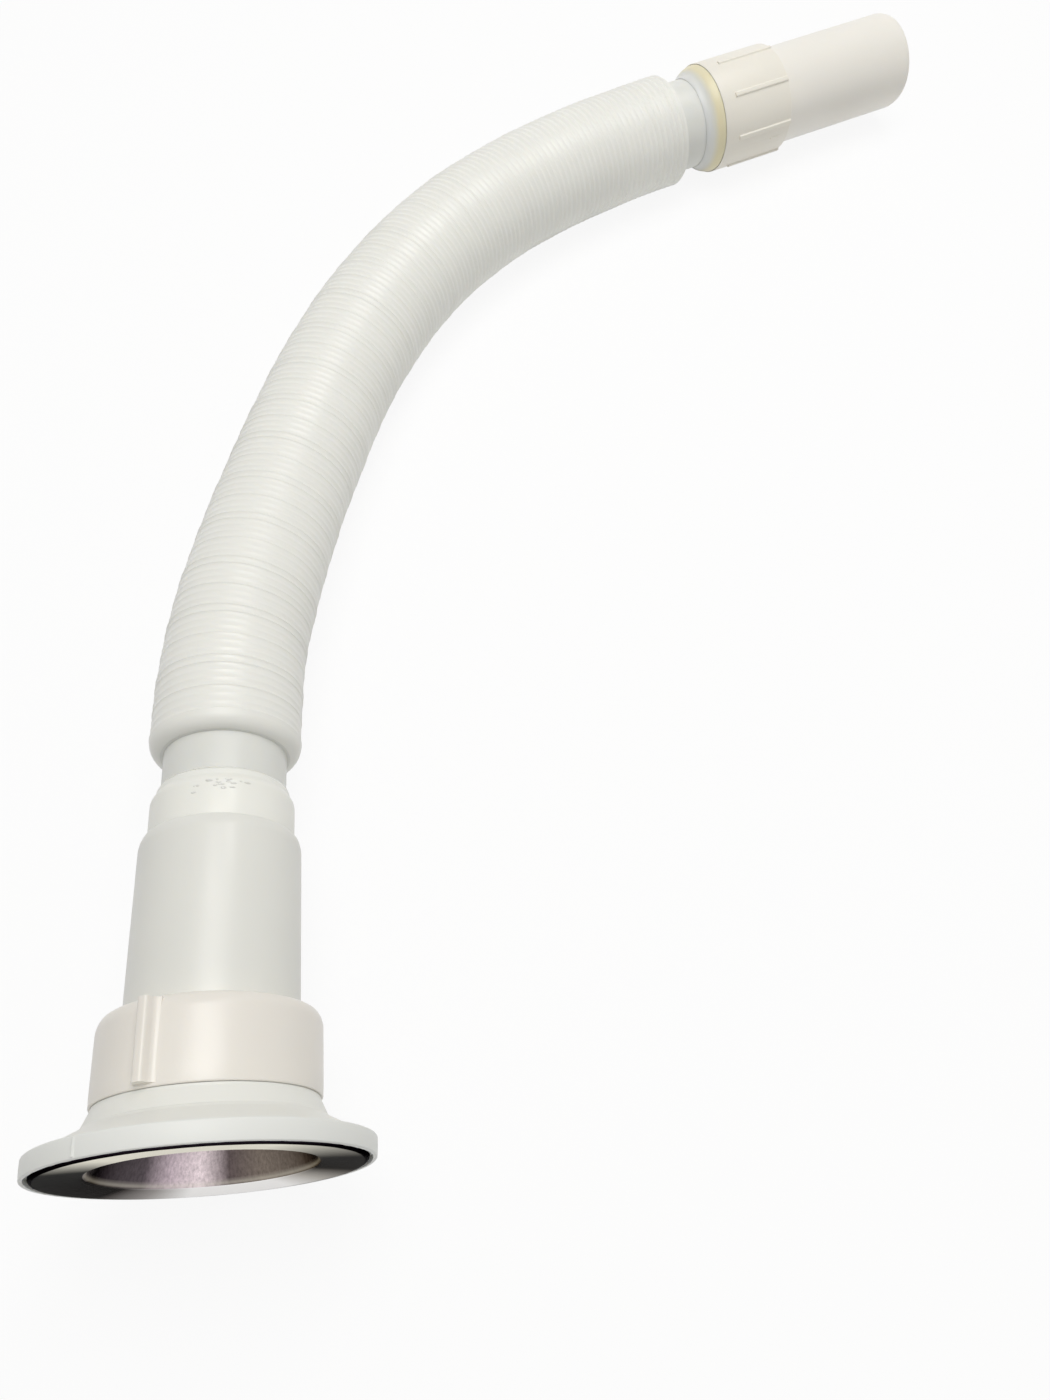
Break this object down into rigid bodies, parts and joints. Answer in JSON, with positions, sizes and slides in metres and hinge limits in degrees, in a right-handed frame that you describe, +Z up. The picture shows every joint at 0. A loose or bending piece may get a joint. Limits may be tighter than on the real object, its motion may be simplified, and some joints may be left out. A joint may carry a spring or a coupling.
{
  "type": "flexible sink waste pipe",
  "caption": "Flexible sink waste: steel strainer and threaded union on a long corrugated hose lying in a bend, with a ribbed union nut and plain spigot at the outlet.",
  "frame": {"origin": "centre of the footprint, on the surface that the object lies on", "axes": "+Z up; +Y from the strainer towards the hose, along the sink end's axis seen from above; +X towards the outlet"},
  "size_m": [0.3498, 0.481, 0.0861],
  "materials": {
    "stainless_steel": "pressed sheet, fine circular brushing",
    "brass": "turned",
    "soft_white": "soft moulded, matt",
    "white_plastic": "moulded, satin",
    "warm_white_plastic": "moulded, satin",
    "hose_white": "blown, satin, slightly milky",
    "milky_plastic": "moulded, slightly translucent",
    "cream_plastic": "moulded, satin",
    "ivory_plastic": "extruded, slight sheen",
    "grey_rubber": "moulded"
  },
  "bodies": {
    "sink_end": {"strainer_dish": "stainless_steel", "clamp_screw": "stainless_steel", "screw_insert": "brass", "sink_gasket": "soft_white", "waste_body": "white_plastic", "sink_seal": "grey_rubber", "sleeve": "white_plastic", "hose_collar": "white_plastic", "hose": "hose_white"},
    "sink_washer_carrier": {"sink_slip_washer": "soft_white"},
    "sink_nut": {"sink_union_nut": "warm_white_plastic"},
    "outlet_end": {"coupling_cup": "milky_plastic", "outlet_seal": "grey_rubber", "outlet_spigot": "ivory_plastic"},
    "outlet_washer_carrier": {"outlet_slip_washer": "soft_white"},
    "outlet_nut": {"outlet_union_nut": "cream_plastic"}
  },
  "joints": [
    {"name": "sink_nut_travel", "type": "slide", "parent": "sink_end", "child": "sink_washer_carrier", "axis": [0, 0.9975, -0.0707], "range_m": [0, 0.01154]},
    {"name": "sink_nut_turn", "type": "hinge", "parent": "sink_washer_carrier", "child": "sink_nut", "pos_m": [-0.13194, -0.20797, 0.04133], "axis": [0, 0.9975, -0.0707], "range_deg": [0, 1800]},
    {"name": "hose_bend", "type": "hinge", "parent": "sink_end", "child": "outlet_end", "pos_m": [-0.0839, 0.0717, 0.023], "axis": [0, 0, 1], "range_deg": [-50, 65], "deforming": ["hose"]},
    {"name": "outlet_nut_travel", "type": "slide", "parent": "outlet_end", "child": "outlet_washer_carrier", "axis": [0.9397, 0.342, 0], "range_m": [0, 0.01385]},
    {"name": "outlet_nut_turn", "type": "hinge", "parent": "outlet_washer_carrier", "child": "outlet_nut", "pos_m": [0.09327, 0.19469, 0.0232], "axis": [0.9397, 0.342, 0], "range_deg": [0, 2160]}
  ],
  "couplings": [
    {"joint": "sink_nut_travel", "follows": "sink_nut_turn", "m_per_rad": 0.00036749},
    {"joint": "outlet_nut_travel", "follows": "outlet_nut_turn", "m_per_rad": 0.00036749}
  ]
}
